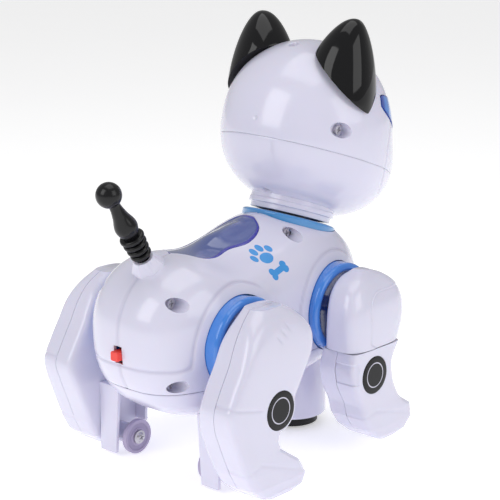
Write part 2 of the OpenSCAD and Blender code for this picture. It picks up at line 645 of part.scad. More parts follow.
module rear_leg_inner() color(WHITE) {
    difference() {
        leg_half(rear_leg, hip_x, false);
        at_axle(hip_x, hip_z) cylinder(r = axle_r + 0.5, h = 80);
    }
    castor_wing();
}
module rear_axle() axle(hip_x, hip_z, axle_wall);
module rear_knee_cap() knee_at(hip_x, rear_knee) knee_cap();
module castor_wheel() color([0.68, 0.63, 0.76]) translate([castor_x, castor_y, castor_r]) rotate([90, 0, 0])
    rotate_extrude($fn = 96) difference() {
        translate([castor_hub_r + run, -castor_t / 2]) square([castor_r - castor_hub_r - run, castor_t]);
        translate([castor_hub_r + 2.4, castor_t / 2 - 0.8]) square([castor_r - castor_hub_r - 4.4, 2]);
    }
module castor_screw() color([0.75, 0.75, 0.77])
    translate([castor_x, castor_y - castor_t / 2 - 0.5, castor_r]) rotate([90, 0, 0]) {
        cylinder(r = 4.2, h = 0.8);
        difference() {
            translate([0, 0, 0.8]) cylinder(r1 = 2.6, r2 = 1.8, h = 1.2, $fn = 48);
            for (a = [0, 90]) rotate(a) translate([-1.6, -0.35, 1.3]) cube([3.2, 0.7, 2]);
        }
    }

tongue_w = 22;
tongue_y = leg_mid - 1.5;
module front_leg_outer() color(WHITE) difference() {
    union() {
        leg_half(front_leg, shoulder_x, true);
        knee_at(shoulder_x, front_knee) knee_boss();
    }
    knee_at(shoulder_x, front_knee) knee_recess();
}
module front_leg_inner() color(WHITE) {
    leg_half(front_leg, shoulder_x, false);
    translate([shoulder_x - tongue_w / 2, tongue_y - 4, front_leg[8][0] - wall])
        cube([tongue_w, 4, shoulder_z + 14 - front_leg[8][0]]);
}
module front_axle() axle(shoulder_x, shoulder_z, tongue_y - 4 - 3);
module front_knee_cap() knee_at(shoulder_x, front_knee) knee_cap();
module shoulder_cover() color(WHITE) difference() {
    skin(leg_rows(cover, shoulder_x, [for (i = [0:27]) i * 360 / 28], 0, 0),
        leg_rows(cover, shoulder_x, [for (i = [0:27]) i * 360 / 28], wall, 0), ring = true, hi = true);
    at_axle(shoulder_x, shoulder_z) cylinder(r = axle_r + 0.5, h = leg_mid);
}

module front_leg_outer_left() side(1) front_leg_outer();
module front_leg_inner_left() side(1) front_leg_inner();
module shoulder_cover_left() side(1) shoulder_cover();
module front_axle_left() side(1) front_axle();
module front_knee_cap_left() side(1) front_knee_cap();
module front_leg_outer_right() side(-1) front_leg_outer();
module front_leg_inner_right() side(-1) front_leg_inner();
module shoulder_cover_right() side(-1) shoulder_cover();
module front_axle_right() side(-1) front_axle();
module front_knee_cap_right() side(-1) front_knee_cap();
module rear_leg_outer_left() side(1) rear_leg_outer();
module rear_leg_inner_left() side(1) rear_leg_inner();
module rear_axle_left() side(1) rear_axle();
module rear_knee_cap_left() side(1) rear_knee_cap();
module castor_wheel_left() side(1) castor_wheel();
module castor_screw_left() side(1) castor_screw();
module rear_leg_outer_right() side(-1) rear_leg_outer();
module rear_leg_inner_right() side(-1) rear_leg_inner();
module rear_axle_right() side(-1) rear_axle();
module rear_knee_cap_right() side(-1) rear_knee_cap();
module castor_wheel_right() side(-1) castor_wheel();
module castor_screw_right() side(-1) castor_screw();

body_shell_left();
body_shell_right();
belly_tub();
back_lens();
neck_light_ring();
shoulder_ring_left();
shoulder_ring_right();
hip_ring_left();
hip_ring_right();
tail_socket();
turret_housing();
leg_frame();
battery_box();
battery_cells();
battery_cover();
control_board();
speaker();
gearbox_plate();
leg_motor();
motor_pinion();
crank_gear();
head_motor();
neck_post();
switch_body();
switch_slider();
body_screws();
head_lower_shell();
head_upper_shell();
head_frame();
ear_left();
ear_right();
face_visor();
eye_board();
nose();
head_screws();
front_leg_outer_left();
front_leg_inner_left();
shoulder_cover_left();
front_axle_left();
front_knee_cap_left();
front_leg_outer_right();
front_leg_inner_right();
shoulder_cover_right();
front_axle_right();
front_knee_cap_right();
rear_leg_outer_left();
rear_leg_inner_left();
rear_axle_left();
rear_knee_cap_left();
castor_wheel_left();
castor_screw_left();
rear_leg_outer_right();
rear_leg_inner_right();
rear_axle_right();
rear_knee_cap_right();
castor_wheel_right();
castor_screw_right();
turret_base();
drive_wheels();
tail();
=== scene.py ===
"""Looks for the robot dog toy: glossy white casings with blue light rings, black ears and tail."""
import json
import math

import bmesh
import bpy
import numpy as np
from mathutils import Matrix, Vector


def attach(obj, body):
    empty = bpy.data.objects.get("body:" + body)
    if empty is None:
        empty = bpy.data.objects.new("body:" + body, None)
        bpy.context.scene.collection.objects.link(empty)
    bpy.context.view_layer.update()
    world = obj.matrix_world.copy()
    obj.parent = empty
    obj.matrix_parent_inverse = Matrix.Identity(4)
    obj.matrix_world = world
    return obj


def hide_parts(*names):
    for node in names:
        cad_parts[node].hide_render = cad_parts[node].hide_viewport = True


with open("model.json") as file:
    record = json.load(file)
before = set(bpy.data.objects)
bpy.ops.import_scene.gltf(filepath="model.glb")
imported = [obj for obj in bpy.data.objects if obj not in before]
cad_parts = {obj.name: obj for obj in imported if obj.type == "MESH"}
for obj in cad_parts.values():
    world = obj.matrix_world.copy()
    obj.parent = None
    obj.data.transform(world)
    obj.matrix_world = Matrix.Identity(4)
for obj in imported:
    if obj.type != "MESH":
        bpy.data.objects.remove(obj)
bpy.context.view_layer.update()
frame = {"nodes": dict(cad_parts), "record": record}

MM = 0.001


# ---------- finishes ----------

class Wire:
    """A value inside a finish. Arithmetic on it adds Math nodes."""

    def __init__(self, finish, socket):
        self.finish, self.socket = finish, socket

    def math(self, how, first, second=0.0):
        return self.finish.node("ShaderNodeMath", {"operation": how}, {0: first, 1: second})

    def __add__(self, other): return self.math("ADD", self, other)
    def __radd__(self, other): return self.math("ADD", other, self)
    def __sub__(self, other): return self.math("SUBTRACT", self, other)
    def __rsub__(self, other): return self.math("SUBTRACT", other, self)
    def __mul__(self, other): return self.math("MULTIPLY", self, other)
    def __rmul__(self, other): return self.math("MULTIPLY", other, self)
    def __truediv__(self, other): return self.math("DIVIDE", self, other)
    def __pow__(self, other): return self.math("POWER", self, other)
    def below(self, other): return self.math("LESS_THAN", self, other)
    def least(self, other): return self.math("MINIMUM", self, other)
    def most(self, other): return self.math("MAXIMUM", self, other)
    def size(self): return self.math("ABSOLUTE", self)


class Finish:
    """A moulded or metal finish built from nodes, with its fixed numbers on the shader itself."""

    def __init__(self, name, **fixed):
        self.material = bpy.data.materials.new(name)
        self.material.use_nodes = True
        self.tree = self.material.node_tree
        self.shader = self.tree.nodes["Principled BSDF"]
        for key, value in fixed.items():
            self.shader.inputs[key.replace("_", " ")].default_value = value
        self.place = self.node("ShaderNodeTexCoord", out="Object")

    def node(self, kind, settings=None, inputs=None, out=0):
        """Any node: its settings first, then the value or the wire of each named input."""
        made = self.tree.nodes.new(kind)
        for key, value in (settings or {}).items():
            setattr(made, key, value)
        for key, value in (inputs or {}).items():
            if isinstance(value, Wire):
                self.tree.links.new(value.socket, made.inputs[key])
            elif isinstance(value, tuple) and len(value) == 3 and made.inputs[key].type == "RGBA":
                made.inputs[key].default_value = (*value, 1)
            else:
                made.inputs[key].default_value = value
        return Wire(self, made.outputs[out])

    def noise(self, grain, detail=2.0):
        return self.node("ShaderNodeTexNoise", {},
                         {"Vector": self.place, "Scale": grain, "Detail": detail})

    def blend(self, amount, first, second):
        return self.node("ShaderNodeMix", {"data_type": "RGBA"},
                         {0: amount, 6: first, 7: second}, out=2)

    def mark(self):
        """The mark its mesh carries at each point: painted shade; on the knee caps, a printed ring.
        """
        return self.node("ShaderNodeAttribute", {"attribute_name": "shade"}, out="Fac")

    def along(self, way, start):
        """Distance from a start point along a direction."""
        away = self.node("ShaderNodeVectorMath", {"operation": "SUBTRACT"},
                         {0: self.place, 1: start})
        return self.node("ShaderNodeVectorMath", {"operation": "DOT_PRODUCT"},
                         {0: away, 1: way}, out="Value")

    def wear(self, colour, rough, grain, height):
        """Puts colour, roughness and a fine bump of the grain on the shader."""
        bump = self.node("ShaderNodeBump", {},
                         {"Height": grain, "Distance": height, "Strength": 0.25})
        for key, value in (("Base Color", colour), ("Roughness", rough), ("Normal", bump)):
            self.tree.links.new(value.socket, self.shader.inputs[key])
        return self.material


def moulded(name, light, dark, gloss, orange_peel=0.00004, **fixed):
    """Moulded plastic: cloudy colour, painted shade in the dark colour where marked, fine peel on
    the gloss.
    """
    made = Finish(name, **fixed)
    cloud = made.noise(18)
    tone = made.blend(cloud, light, tuple(0.965 * c for c in light))
    tone = made.blend(made.mark(), tone, dark)
    rough = gloss + 0.10 * made.noise(55, 4) + 0.12 * made.mark()
    return made, tone, rough, made.noise(420, 3), orange_peel


# Lavender-tinted white, and the darker lavender painted into its grooves, seams and pits as shade.
WHITE, PAINTED_SHADE = (0.745, 0.73, 0.885), (0.52, 0.50, 0.66)


def white_plastic(name="white casing", print_on=None):
    """Glossy white with a lavender tint, and a print over its colour where one is given."""
    made, tone, rough, grain, peel = moulded(
        name, WHITE, PAINTED_SHADE, 0.17, IOR=1.5, Coat_Weight=0.6, Coat_Roughness=0.06,
        Subsurface_Weight=0.06, Subsurface_Scale=0.004)
    if print_on:
        tone = print_on(made, tone)
    return made.wear(tone, rough, grain, peel)


PRINT_START = (-0.0135, -0.0323, 0.1195)
PRINT_ALONG, PRINT_UP = (0.96, 0.05, 0.27), (-0.25, 0.60, 0.76)
# Each disc's place along and up the slope, and its half width and half height, in millimetres.
PAW = ((0, 3.4, 4.6, 3.7), (-6.6, 7.2, 2.0, 2.7), (-2.5, 10.6, 2.1, 2.9), (2.6, 10.6, 2.1, 2.9),
       (6.7, 7.2, 2.0, 2.7))
BONE_ENDS = ((-5.2, -8.2, 2.3, 2.3), (-5.2, -5.0, 2.3, 2.3), (5.2, -8.2, 2.3, 2.3),
             (5.2, -5.0, 2.3, 2.3))


def paw_print(made, tone):
    """Printed paw above a bone: the least of its discs' squared distances and the fourth power of
    the bone's bar, inked where it is under 1, along directions on the casing's slope."""
    along, up = made.along(PRINT_ALONG, PRINT_START), made.along(PRINT_UP, PRINT_START)
    shape = None
    for x, y, wide, tall in PAW + BONE_ENDS:
        across, rise = (along - x * MM) / (wide * MM), (up - y * MM) / (tall * MM)
        away = across * across + rise * rise
        shape = away if shape is None else shape.least(away)
    bar = ((along / (5.2 * MM)).size().most(((up + 6.6 * MM) / (1.9 * MM)).size())) ** 4
    shape = shape.least(bar)
    ink = made.node("ShaderNodeMapRange", {}, {0: shape, 1: 0.92, 2: 1.08, 3: 1.0, 4: 0.0})
    blue = made.blend(made.noise(300), (0.03, 0.33, 0.80), (0.02, 0.28, 0.72))
    return made.blend(ink * 0.97, tone, blue)


def simple(name, light, dark, gloss, **fixed):
    """Moulded plastic of a given light colour, and the dark colour of its painted shade (of the
    print on the knee caps).
    """
    made, tone, rough, grain, peel = moulded(name, light, dark, gloss, **fixed)
    return made.wear(tone, rough, grain, peel)


def metal(name, light, dark, gloss):
    """Metal with fine drawn streaks: noise stretched along one direction."""
    made = Finish(name, Metallic=1.0)
    stretched = made.node("ShaderNodeMapping", {},
                          {"Vector": made.place, "Scale": (900.0, 60.0, 900.0)})
    streak = made.node("ShaderNodeTexNoise", {},
                       {"Vector": stretched, "Scale": 1.0, "Detail": 3.0})
    return made.wear(made.blend(streak, light, dark), gloss + 0.2 * streak, streak, 0.00003)


def board(name):
    """Circuit board: green lacquer over a pattern of copper tracks."""
    made = Finish(name, Coat_Weight=0.3)
    tracks = made.node("ShaderNodeTexVoronoi", {"feature": "DISTANCE_TO_EDGE"},
                       {"Vector": made.place, "Scale": 260.0}, out="Distance")
    line = tracks.below(0.06)
    tone = made.blend(line, (0.02, 0.16, 0.07), (0.10, 0.32, 0.14))
    return made.wear(tone, 0.35 + 0.2 * made.noise(200), line, 0.00005)


FINISH = {
    "white_shell": white_plastic(),
    "printed": white_plastic("white casing with print", paw_print),
    "blue_clear": simple("clear blue ring", (0.05, 0.24, 0.74), (0.010, 0.045, 0.34), 0.07,
                         IOR=1.49, Coat_Weight=0.8, Coat_Roughness=0.03, Emission_Strength=0.03,
                         Emission_Color=(0.05, 0.2, 1.0, 1)),
    "neck_blue": simple("clear blue neck ring", (0.06, 0.30, 0.68), (0.03, 0.12, 0.45), 0.08,
                        IOR=1.49, Coat_Weight=0.8, Coat_Roughness=0.03),
    "lens": simple("smoked blue window", (0.075, 0.11, 0.33), (0.02, 0.02, 0.36), 0.05, IOR=1.5,
                   Coat_Weight=1.0, Coat_Roughness=0.02),
    "black_gloss": simple("black gloss", (0.004, 0.004, 0.005), (0.002, 0.002, 0.002), 0.02,
                          IOR=1.42, orange_peel=0.00001),
    "black_matte": simple("black satin", (0.012, 0.012, 0.013), (0.72, 0.71, 0.82), 0.32,
                          IOR=1.33),
    "tail_rubber": simple("black rubber", (0.005, 0.005, 0.006), (0.002, 0.002, 0.002), 0.16,
                          IOR=1.42),
    "red": simple("red knob", (0.93, 0.055, 0.04), (0.5, 0.02, 0.02), 0.3, IOR=1.48,
                  Coat_Weight=0.2),
    "castor": simple("lavender wheel", (0.46, 0.40, 0.58), (0.30, 0.26, 0.42), 0.33, IOR=1.48),
    "steel": metal("bright steel", (0.62, 0.61, 0.64), (0.45, 0.44, 0.47), 0.2),
    "motor": metal("motor can", (0.55, 0.55, 0.56), (0.40, 0.40, 0.42), 0.3),
    "frame_grey": simple("grey frame", (0.26, 0.27, 0.30), (0.18, 0.18, 0.2), 0.4, IOR=1.46),
    "gear": simple("ivory gear", (0.62, 0.60, 0.52), (0.4, 0.38, 0.3), 0.4, IOR=1.46),
    "board": board("circuit board"),
    "cell": simple("cell wrapper", (0.03, 0.16, 0.07), (0.02, 0.05, 0.03), 0.3,
                   Coat_Weight=0.3),
}


# ---------- shapes ----------

def spow(s, p):
    """Power of a number's size, with its sign kept."""
    return np.sign(s) * np.abs(s) ** p


def bell(x, wide):
    """Bell curve of height 1 that falls to 1/e at its width."""
    return np.exp(-(np.asarray(x) / wide) ** 2)


def ease(x, low, high):
    """Smooth step from 0 at low to 1 at high."""
    t = np.clip((x - low) / (high - low), 0, 1)
    return t * t * (3 - 2 * t)


def cosd(a):
    """Cosine of degrees."""
    return np.cos(np.radians(a))


def sind(a):
    """Sine of degrees."""
    return np.sin(np.radians(a))


def along(rows, at, column):
    """Smooth curve through a table's rows, with each row's slope taken across its neighbours."""
    rows = np.asarray(rows, float)
    key, value = rows[:, 0], rows[:, column]
    here = np.arange(len(rows))
    low, high = np.maximum(here - 1, 0), np.minimum(here + 1, len(rows) - 1)
    slope = (value[high] - value[low]) / (key[high] - key[low])
    i = np.clip(np.searchsorted(key, at) - 1, 0, len(rows) - 2)
    step = key[i + 1] - key[i]
    t = (at - key[i]) / step
    return ((2 * t**3 - 3 * t**2 + 1) * value[i] + (t**3 - 2 * t**2 + t) * step * slope[i]
            + (3 * t**2 - 2 * t**3) * value[i + 1] + (t**3 - t**2) * step * slope[i + 1])


def circle(count):
    """Headings all round in degrees, as a row."""
    return np.arange(count)[None, :] * (360 / count)


def climb(low, high, count):
    """Even steps from low to high, as a column."""
    return np.linspace(low, high, count)[:, None]


def span(s, low, high):
    """Two distances from the middle plane out to side s, in rising order."""
    return sorted((s * low, s * high))


def turned(angle, axis, at):
    """Frame at a point, turned about one axis."""
    return np.array(Matrix.Translation(Vector(at)) @ Matrix.Rotation(math.radians(angle), 4, axis))


def moved(points, how):
    """Points carried into a frame."""
    return points @ how[:3, :3].T + how[:3, 3]


SIDES = ((1, "left"), (-1, "right"))
WALL, GAP = 2.0, 0.3
BODY_X, BODY_Z = -13.55, 86.0
BODY_LONG, BODY_WIDE, BODY_TALL = 91.5, 46.5, 53
PLAN_POWER, SECTION_POWER = 3, 2.45
HEAD_R, HEAD_Z = 54.5, 60.0
HIP, SHOULDER = (-50.33, 82.0), (33.30, 85.0)
NECK = turned(20, "Y", (BODY_X + 52.5, 0, 130.52))
TAIL = turned(-32, "Y", (-82.55, 0, 127.0))
TURRET = turned(0, "Z", (41.95, 0, 0))
SWITCH_X, SWITCH_Z = -105.05, 78.0


def axle_frame(where):
    """Frame on a crosswise axle whose third axis points outwards on the dog's left."""
    return turned(-90, "X", (where[0], 0, where[1]))


def waist(x):
    """The casing's width along its length, pinched by a bell at the waist."""
    return 1 - 0.07 * bell(x - BODY_X - 4, 24)


def body_point(u, v, inset=0.0):
    """Casing at heading u and latitude v: a superellipse plan of power 3 and section of power 2.45,
    pinched at the waist, raised towards the neck, and dipped behind it."""
    cv, sv = spow(cosd(v), 2 / SECTION_POWER), spow(sind(v), 2 / SECTION_POWER)
    t = spow(cosd(u), 2 / PLAN_POWER) * cv
    x = (BODY_LONG - inset) * t + BODY_X
    y = (BODY_WIDE - inset) * waist(x) * spow(sind(u), 2 / PLAN_POWER) * cv
    return np.stack([x, y, body_height(x, y, t, sv, inset)], -1)


def body_height(x, y, t, sv, inset):
    """Height of the casing: its section, a slope along its length t that has one rate above and
    another below, and two bells that dip the back."""
    rise = np.where(sv > 0, 4.5, -8.0) * t * sv
    dip = 7 * bell(x - BODY_X + 31, 22) + 12 * bell(x - BODY_X + 8, 30) * (1 - bell(y, 16))
    return BODY_Z + (BODY_TALL - inset) * sv + rise - dip * np.maximum(sv, 0) ** 2


CHEEK = (0.646, 0.718, 0.259)


def angle_of(dot):
    """Angle in degrees between two directions, from their dot product."""
    return np.degrees(np.arccos(np.clip(dot, -1, 1)))


def head_point(u, v, inset=0.0):
    """Head at heading u and latitude v: a superellipse of power 2 above and 2.4 below, with a bell
    added at the muzzle and bells taken off at the brow and both cheeks."""
    u, v = np.broadcast_arrays(np.asarray(u, float), np.asarray(v, float))
    full = np.where(v > 0, 2.0, 2.4)
    m = (np.abs(cosd(v)) ** full + np.abs(sind(v)) ** full) ** (-1 / full)
    way = np.stack([cosd(v) * cosd(u), cosd(v) * sind(u), sind(v)], -1)

    def away(v0):
        return angle_of(way @ np.array([cosd(v0), 0, sind(v0)]))
    cheek = angle_of(way[..., 0] * CHEEK[0] + np.abs(way[..., 1]) * CHEEK[1]
                     + way[..., 2] * CHEEK[2])
    muzzle, brow = 14 * bell(away(-22), 42), 11 * bell(away(28), 50)
    r = m * (HEAD_R - inset) + muzzle - brow - 5 * bell(cheek, 25)
    return way * r[..., None] * np.array([1, 1, 0.95]) + np.array([0, 0, HEAD_Z])


def sink(grid, depth, ring=False):
    """Presses each point of a grid inwards along the surface normal by a depth."""
    wide = np.concatenate([grid[:, -1:], grid, grid[:, :1]], 1) if ring else grid
    across = np.gradient(wide, axis=1)
    if ring:
        across = across[:, 1:-1]
    normal = np.cross(across, np.gradient(grid, axis=0))
    normal /= np.maximum(np.linalg.norm(normal, axis=-1, keepdims=True), 1e-9)
    return grid - normal * depth[..., None]


# ---------- meshes ----------

def mesh_of(name, points, faces, shade=None, weld=0.0):
    """Mesh from points in millimetres and a list of faces, its normals made to point outwards."""
    mesh = bpy.data.meshes.new(name)
    mesh.from_pydata(points.reshape(-1, 3) * MM, [], faces)
    mark = mesh.attributes.new("shade", "FLOAT", "POINT")
    if shade is not None:
        mark.data.foreach_set("value", np.ascontiguousarray(shade, dtype=np.float32).ravel())
    build = bmesh.new()
    build.from_mesh(mesh)
    if weld:
        bmesh.ops.remove_doubles(build, verts=build.verts, dist=weld * MM)
    bmesh.ops.recalc_face_normals(build, faces=build.faces)
    build.to_mesh(mesh)
    build.free()
    made = bpy.data.objects.new(name, mesh)
    bpy.context.scene.collection.objects.link(made)
    return made


def quads(rows, columns, ring, start=0):
    """Faces of a grid, wrapped round when it is a ring."""
    i, j = np.meshgrid(np.arange(rows - 1), np.arange(columns if ring else columns - 1),
                       indexing="ij")
    k = (j + 1) % columns
    corners = [i * columns + j, i * columns + k, (i + 1) * columns + k, (i + 1) * columns + j]
    return np.stack(corners, -1).reshape(-1, 4) + start


def solid(name, grid, ring=True, shade=None):
    """Closed body through a grid, its first and last rows capped, and its open side too."""
    rows, columns = grid.shape[:2]
    faces = quads(rows, columns, ring).tolist()
    last = (rows - 1) * columns
    faces += [list(range(columns))[::-1], list(range(last, last + columns))]
    if not ring:
        first = [r * columns for r in range(rows)]
        faces.append(first + [f + columns - 1 for f in first[::-1]])
    return mesh_of(name, grid, faces, shade)


def skin(name, outer, inner, ring=False, low=False, high=False, shade=None):
    """Wall between an outer and an inner grid, with a rim or a cap at its low and high ends."""
    rows, columns = outer.shape[:2]
    far, last = rows * columns, (rows - 1) * columns
    faces = quads(rows, columns, ring).tolist() + quads(rows, columns, ring, far).tolist()
    line = np.arange(columns)
    pair = np.stack([line, np.roll(line, -1)], -1)[:None if ring else -1]
    for at, capped in ((0, low), (last, high)):
        if capped:
            faces += [(at + line).tolist(), (far + at + line).tolist()]
            if not ring:
                faces.append([at, at + columns - 1, far + at + columns - 1, far + at])
        else:
            faces += [[at + a, at + b, far + at + b, far + at + a] for a, b in pair.tolist()]
    if not ring:
        for column in (0, columns - 1):
            edge = np.arange(rows) * columns + column
            faces += [[a, b, far + b, far + a]
                      for a, b in zip(edge[:-1].tolist(), edge[1:].tolist())]
    if shade is not None:
        shade = np.concatenate([shade.ravel(), np.zeros(shade.size)])
    points = np.concatenate([outer.reshape(-1, 3), inner.reshape(-1, 3)])
    return mesh_of(name, points, faces, shade)


def lathe(name, profile, how, turns=160, shade=None, wave=None):
    """Profile of radius and height carried round a frame's third axis, closed where it leaves it.
    A wave scales the radius by the angle."""
    profile = np.asarray(profile, float)
    angle = np.arange(turns) * 2 * math.pi / turns
    radius = profile[:, :1] * (np.ones(turns) if wave is None else wave(angle))
    height = profile[:, 1:] * np.ones(turns)
    grid = np.stack([radius * np.cos(angle), radius * np.sin(angle), height], -1)
    faces = quads(len(profile), turns, True).tolist()
    if profile[[0, -1], 0].max() > 1e-6:
        last = (len(profile) - 1) * turns
        pair = np.stack([np.arange(turns), np.roll(np.arange(turns), -1)], -1).tolist()
        faces += [[last + a, last + b, b, a] for a, b in pair]
    if shade is not None:
        shade = np.repeat(np.asarray(shade, float), turns)
    return mesh_of(name, moved(grid, how), faces, shade, weld=0.0005)


def rounded(corners, radius=0.5, steps=5):
    """Profile with every corner between its ends rounded by a parabola, where a radius fits."""
    corners = [np.asarray(c, float) for c in corners]
    out = [corners[0]]
    for a, b, c in zip(corners[:-2], corners[1:-1], corners[2:]):
        before, after = np.linalg.norm(a - b), np.linalg.norm(c - b)
        reach = min(radius, 0.45 * before, 0.45 * after)
        p, q = b + (a - b) / before * reach, b + (c - b) / after * reach
        out += [(1 - t) ** 2 * p + 2 * t * (1 - t) * b + t * t * q
                for t in np.linspace(0, 1, steps)]
    return np.array(out + [corners[-1]])


def rod(name, radius, low, high, how, turns=160, wave=None):
    """Round bar between two heights of a frame."""
    return lathe(name, [(0, low), (radius, low), (radius, high), (0, high)], how, turns, wave=wave)


def oval(angle):
    """Outline of a screw recess: an ellipse whose squared axes are as 1.45 to 0.85."""
    return (np.cos(angle) ** 2 / 1.45 + np.sin(angle) ** 2 / 0.85) ** -0.5


def block(name, low, high):
    """Box between its lowest and highest corners."""
    x, y, z = zip(low, high)
    grid = np.array([[[x[0], y[0], h], [x[1], y[0], h], [x[1], y[1], h], [x[0], y[1], h]]
                     for h in z])
    return solid(name, grid)


def cut(target, *tools, how="DIFFERENCE"):
    """Applies a mesh's modifiers and a boolean with each tool for good, and removes the tools."""
    for tool in tools:
        step = target.modifiers.new("carve", "BOOLEAN")
        step.object, step.operation, step.solver = tool, how, "MANIFOLD"
    bpy.context.view_layer.update()
    seen = target.evaluated_get(bpy.context.evaluated_depsgraph_get())
    done = bpy.data.meshes.new_from_object(seen)
    target.modifiers.clear()
    target.data = done
    for tool in tools:
        bpy.data.objects.remove(tool)
    return target


def mirrored(points):
    """Points on the dog's other side."""
    return points * np.array([1, -1, 1])


BODY_OF = {node: body for body, nodes in frame["record"]["behaviour"]["bodies"].items()
           for node in nodes}


def show(made, node, finish, edge=32, stands_for=True):
    """Gives a piece its finish, its soft shading and the body it rides on."""
    made.data.materials.clear()
    made.data.materials.append(FINISH[finish])
    made.data.polygons.foreach_set("material_index", np.zeros(len(made.data.polygons), np.int32))
    made.data.shade_smooth()
    made.data.set_sharp_from_angle(angle=math.radians(edge))
    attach(made, BODY_OF[node])
    if stands_for:
        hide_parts(node)
    return made


# ---------- body casing ----------

COLLAR_R = 33.5


def body_relief(grid):
    """Depth pressed into the casing: bells along the middle, round each collar and round the rear
    panel, and a smooth step that sets each collar back."""
    x, y, z = grid[..., 0], grid[..., 1], grid[..., 2]
    side = ease(np.abs(y), 14, 24)
    hip = np.hypot(x - HIP[0], z - HIP[1]) - COLLAR_R
    shoulder = np.hypot(x - SHOULDER[0], z - SHOULDER[1]) - COLLAR_R
    low = z - 72
    near = np.minimum(hip + 200 * (1 - side), low)
    panel = near - 4 * np.exp(-np.abs(hip + 200 * (1 - side) - low) / 4) * 0.5
    rear = 1 - ease(x, -36, -28) * ease(z, 60, 100)
    seams = 0.42 * bell(panel, 0.9) * rear * (1 - ease(x, -34, -22))
    seams += 0.40 * bell(shoulder, 0.9) * side * ease(z, 70, 84)
    sunk = 0.35 * ease(hip, 0.2, 1.6) * (1 - ease(hip, 2, 10)) * side * ease(z, 70, 80)
    sunk += (0.35 * ease(shoulder, 0.2, 1.6) * (1 - ease(shoulder, 2, 10)) * side
             * ease(z, 70, 84))
    middle = 0.35 * bell(y, 0.55)
    # The second value is painted shade in the seams round the hip collar, rear panel and shoulder
    # collars, and along the middle.
    return seams + sunk + middle, np.clip(seams / 0.42 * 0.75 + middle / 0.35 * 0.5, 0, 1)


# The window's half width along the back.
LENS_ROWS = [[-64.05, 0.4], [-54.55, 13.8], [-44.05, 15.8], [-30.55, 14.3], [-15.05, 16.8],
             [-2.55, 13.3], [2.95, 4]]
LENS_BACK, LENS_FRONT = LENS_ROWS[0][0], LENS_ROWS[-1][0]


def lens_half(x):
    """The window's half width at x: the smooth curve through its rows, never under 0.4."""
    return np.maximum(0.4, along(LENS_ROWS, x, 1))


def lens_prism():
    """The window's outline drawn straight up through the back."""
    x = np.linspace(LENS_BACK, LENS_FRONT, 90)
    half = lens_half(x)
    line = np.concatenate([np.stack([x, half], -1), np.stack([x, -half], -1)[::-1]])
    levels = [np.column_stack([line, np.full(len(line), z)]) for z in (106.0, 200.0)]
    return solid("lens opening", np.stack(levels))


def ring_tool(where, s):
    """Bar that opens the casing behind a light ring."""
    return rod("ring opening", 27.3, *span(s, 34.5, 64.5), axle_frame(where), 200)


# Each casing screw's x and z, and how far from the middle its recess ends.
SCREWS = [(-87.55, 109.0, 23.0), (-89.25, 62.7, 23.0), (11.95, 130.0, 20.0)]


def body_half(name, s):
    """Half of the casing above the belly seam, hollowed to its wall, with a tube round each screw
    recess and openings for the rings, window, neck, tail and switch."""
    grid = body_point(np.linspace(0, 180, 300)[None, :], climb(-23.8, 87, 190))
    depth, shade = body_relief(grid)
    grid = sink(grid, depth)
    if s < 0:
        grid = mirrored(grid)
    made = solid(name, grid, ring=False, shade=shade)
    hollow = solid("hollow", body_point(circle(120), climb(-32, 88, 60), WALL))
    tools = [hollow, ring_tool(HIP, s), ring_tool(SHOULDER, s), lens_prism(),
             rod("neck opening", 29.3, -14, 26, NECK, 240),
             rod("tail opening", 7.5, -12, 18, TAIL),
             block("switch slot", (SWITCH_X - 5, -3.2, SWITCH_Z - 4.95),
                   (SWITCH_X + 15, 3.2, SWITCH_Z + 5.4))]
    cups = []
    for x, z, end in SCREWS:
        how = axle_frame((x, z))
        tools.append(rod("screw recess", 4.1, *span(s, end, 70), how, 96, oval))
        tube = rod("screw tube", 5.9, *span(s, end - WALL, 44), how, 96, oval)
        inside = solid("inside", body_point(circle(120), climb(-84, 86, 60), 1.0))
        cups.append(cut(tube, inside, how="INTERSECT"))
    made = cut(made, tools[0])
    made = cut(made, *cups, how="UNION")
    return cut(made, *tools[1:])


show(body_half("casing_left", 1), "body_shell_left", "white_shell")
show(body_half("casing_right", -1), "body_shell_right", "printed")


def belly():
    """The casing's formula below the belly seam, hollowed, with openings for the rings, the
    battery cover and the turret."""
    grid = body_point(circle(480), climb(-86, -24.2, 110))
    # Painted shade: a dark line along the top edge, at the belly seam.
    made = solid("belly_pan", grid, shade=0.55 * bell(grid[..., 2] - grid[-1:, :, 2], 0.8))
    tools = [solid("hollow", body_point(circle(120), climb(-84, -18, 40), WALL))]
    tools += [ring_tool(place, s) for place in (HIP, SHOULDER) for s in (1, -1)]
    tools.append(block("cover opening", (BODY_X - 32.3, -17.3, 0), (BODY_X + 14.3, 17.3, 56)))
    tools.append(rod("turret opening", 22.3, 0, 71, TURRET))
    return cut(made, *tools)


show(belly(), "belly_tub", "white_shell")


def back_window():
    """Window at the casing's own height over its outline, with a raised border and a dished
    front, each a smooth step of the distance in from its edge."""
    s, w = climb(0, 1, 150), np.linspace(-1, 1, 90)[None, :]
    x = LENS_BACK + 0.35 + s * (LENS_FRONT - LENS_BACK - 0.7) + 0 * w
    half = lens_half(x[:, 0])[:, None]
    y = w * (half - 0.3)
    t, q = (x - BODY_X) / BODY_LONG, y / (BODY_WIDE * waist(x))
    cv = (np.abs(t) ** PLAN_POWER + np.abs(q) ** PLAN_POWER) ** (1 / PLAN_POWER)
    sv = np.maximum(1 - cv ** SECTION_POWER, 0) ** (1 / SECTION_POWER)
    top = body_height(x, y, t, sv, 0)
    inward = np.minimum(half - np.abs(y), np.minimum(x - LENS_BACK, LENS_FRONT - x))
    dish = 0.3 + 0.5 * ease(inward, 1.4, 2.6) + 1.5 * ease(inward, 2.0, 9) * ease(x, -32, -16)
    shade = 1 - ease(inward, 1.6, 2.6)
    outer = np.stack([x, y, top - dish], -1)
    return skin("back_window", outer, np.stack([x, y, top - 3.5], -1), shade=shade)


show(back_window(), "back_lens", "lens")


# ---------- light rings ----------

